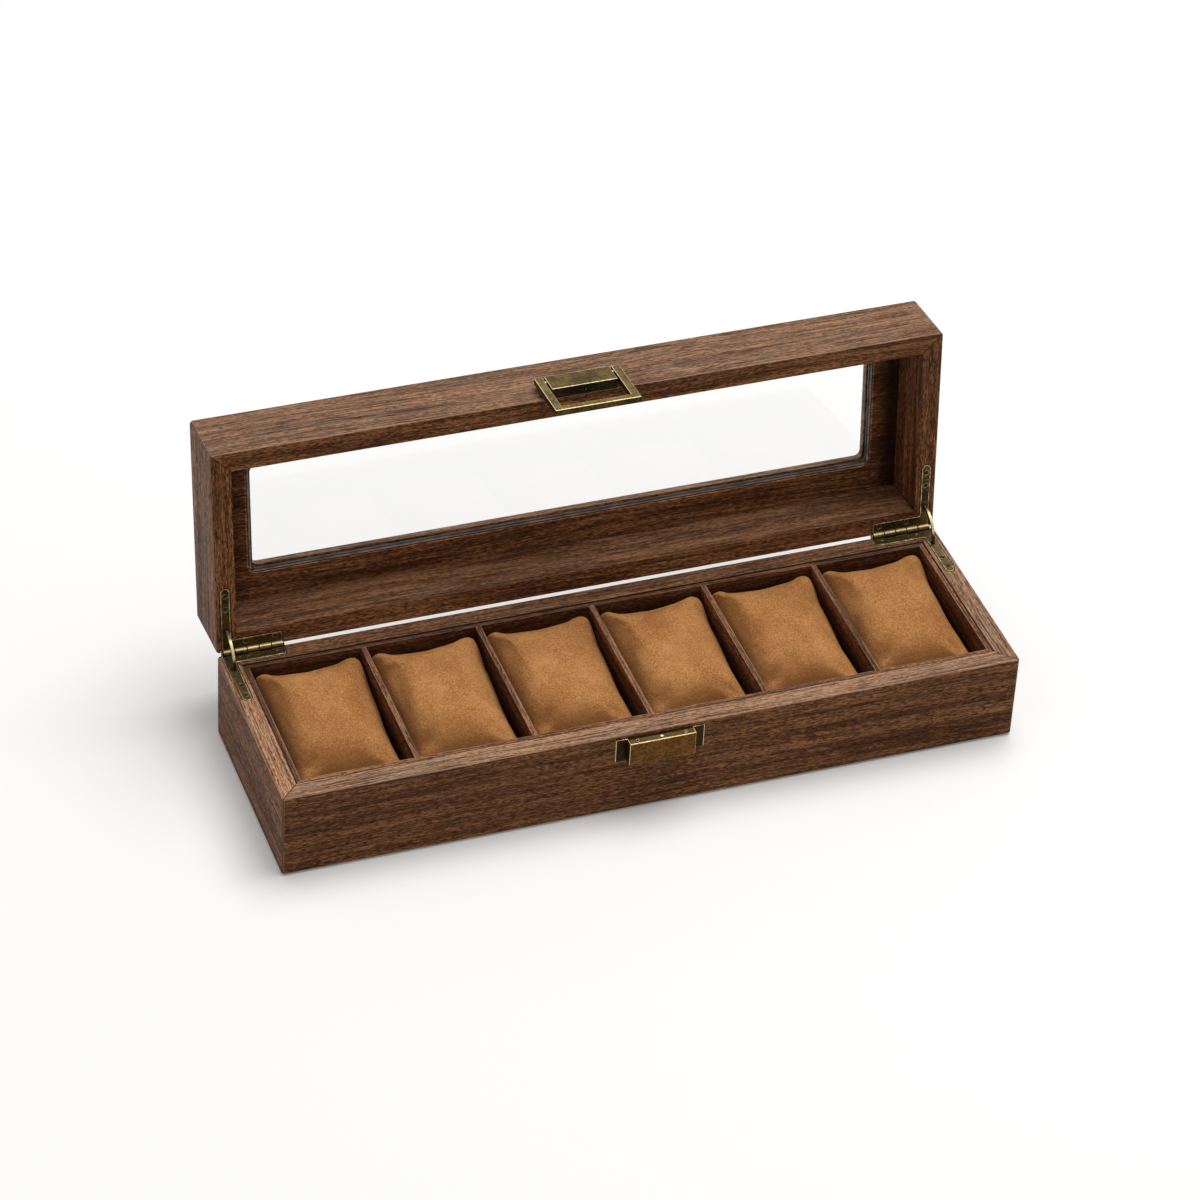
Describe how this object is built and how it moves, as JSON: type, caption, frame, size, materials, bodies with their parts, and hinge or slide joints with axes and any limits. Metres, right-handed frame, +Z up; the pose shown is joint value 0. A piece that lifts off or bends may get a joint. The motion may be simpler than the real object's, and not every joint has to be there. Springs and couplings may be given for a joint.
{
  "type": "watch box",
  "caption": "Long wooden watch box with a glazed lid on curved-stay corner hinges, a framed hasp clasp and a divided tray of loose suede cushions.",
  "frame": {"origin": "middle of the resting face, the underside of the felt", "axes": "+X along the length, +Y to the hinged rear, +Z up; the lid stands open"},
  "size_m": [0.33, 0.1442, 0.1459],
  "materials": {
    "case_wood": "open-pored dark walnut, satin",
    "liner_wood": "thin walnut board, satin",
    "panel_wood": "plain walnut-faced board",
    "felt": "short black felt",
    "floor_lining": "brown suede cloth on card",
    "glass": "clear float glass",
    "bead": "grey glazing bead",
    "hinge_brass": "antique, brushed",
    "stay_brass": "bright, worn",
    "screw_brass": "antique",
    "clasp_brass": "antique with bright worn edges",
    "stud_steel": "polished",
    "cushion_suede": "soft camel suede cloth"
  },
  "bodies": {
    "base": {"base_front_wall": "case_wood", "base_back_wall": "case_wood", "base_left_wall": "case_wood", "base_right_wall": "case_wood", "base_bottom_panel": "panel_wood", "base_felt": "felt", "floor_lining": "floor_lining", "liner_front": "liner_wood", "liner_back": "liner_wood", "liner_left": "liner_wood", "liner_right": "liner_wood", "divider_1": "liner_wood", "divider_2": "liner_wood", "divider_3": "liner_wood", "divider_4": "liner_wood", "divider_5": "liner_wood", "hinge_base_leaf_left": "hinge_brass", "hinge_base_leaf_right": "hinge_brass", "hinge_pin_left": "hinge_brass", "hinge_pin_right": "hinge_brass", "base_leaf_screws": "screw_brass", "catch_plate": "clasp_brass", "catch_stud": "stud_steel", "catch_screws": "screw_brass"},
    "lid": {"lid_front_wall": "case_wood", "lid_back_wall": "case_wood", "lid_left_wall": "case_wood", "lid_right_wall": "case_wood", "lid_top_panel": "case_wood", "lid_glass": "glass", "glass_bead": "bead", "hinge_lid_leaf_left": "hinge_brass", "hinge_lid_leaf_right": "hinge_brass", "lid_leaf_screws": "screw_brass", "hasp_block": "clasp_brass", "hasp_pin": "clasp_brass", "hasp_screws": "screw_brass"},
    "stay_left": {"hinge_stay_left": "stay_brass"},
    "stay_right": {"hinge_stay_right": "stay_brass"},
    "hasp_frame": {"hasp_frame": "clasp_brass"},
    "cushion_1": {"cushion_1": "cushion_suede"},
    "cushion_2": {"cushion_2": "cushion_suede"},
    "cushion_3": {"cushion_3": "cushion_suede"},
    "cushion_4": {"cushion_4": "cushion_suede"},
    "cushion_5": {"cushion_5": "cushion_suede"},
    "cushion_6": {"cushion_6": "cushion_suede"}
  },
  "joints": [
    {"name": "lid_hinge", "type": "hinge", "parent": "base", "child": "lid", "pos_m": [0, 0.0493, 0.04175], "axis": [-1, 0, 0], "range_deg": [-96, 0]},
    {"name": "stay_left_slide", "type": "hinge", "parent": "base", "child": "stay_left", "pos_m": [0, 0.0493, 0.04175], "axis": [-1, 0, 0], "range_deg": [-48, 0]},
    {"name": "stay_right_slide", "type": "hinge", "parent": "base", "child": "stay_right", "pos_m": [0, 0.0493, 0.04175], "axis": [-1, 0, 0], "range_deg": [-48, 0]},
    {"name": "hasp_swing", "type": "hinge", "parent": "lid", "child": "hasp_frame", "pos_m": [0, 0.06831, 0.14176], "axis": [-1, 0, 0], "range_deg": [0, 180]},
    {"name": "cushion_1_lift", "type": "slide", "parent": "base", "child": "cushion_1", "axis": [0, 0, 1], "range_m": [0, 0.05]},
    {"name": "cushion_2_lift", "type": "slide", "parent": "base", "child": "cushion_2", "axis": [0, 0, 1], "range_m": [0, 0.05]},
    {"name": "cushion_3_lift", "type": "slide", "parent": "base", "child": "cushion_3", "axis": [0, 0, 1], "range_m": [0, 0.05]},
    {"name": "cushion_4_lift", "type": "slide", "parent": "base", "child": "cushion_4", "axis": [0, 0, 1], "range_m": [0, 0.05]},
    {"name": "cushion_5_lift", "type": "slide", "parent": "base", "child": "cushion_5", "axis": [0, 0, 1], "range_m": [0, 0.05]},
    {"name": "cushion_6_lift", "type": "slide", "parent": "base", "child": "cushion_6", "axis": [0, 0, 1], "range_m": [0, 0.05]}
  ],
  "couplings": [
    {"joint": "stay_left_slide", "follows": "lid_hinge", "ratio": 0.5},
    {"joint": "stay_right_slide", "follows": "lid_hinge", "ratio": 0.5}
  ]
}
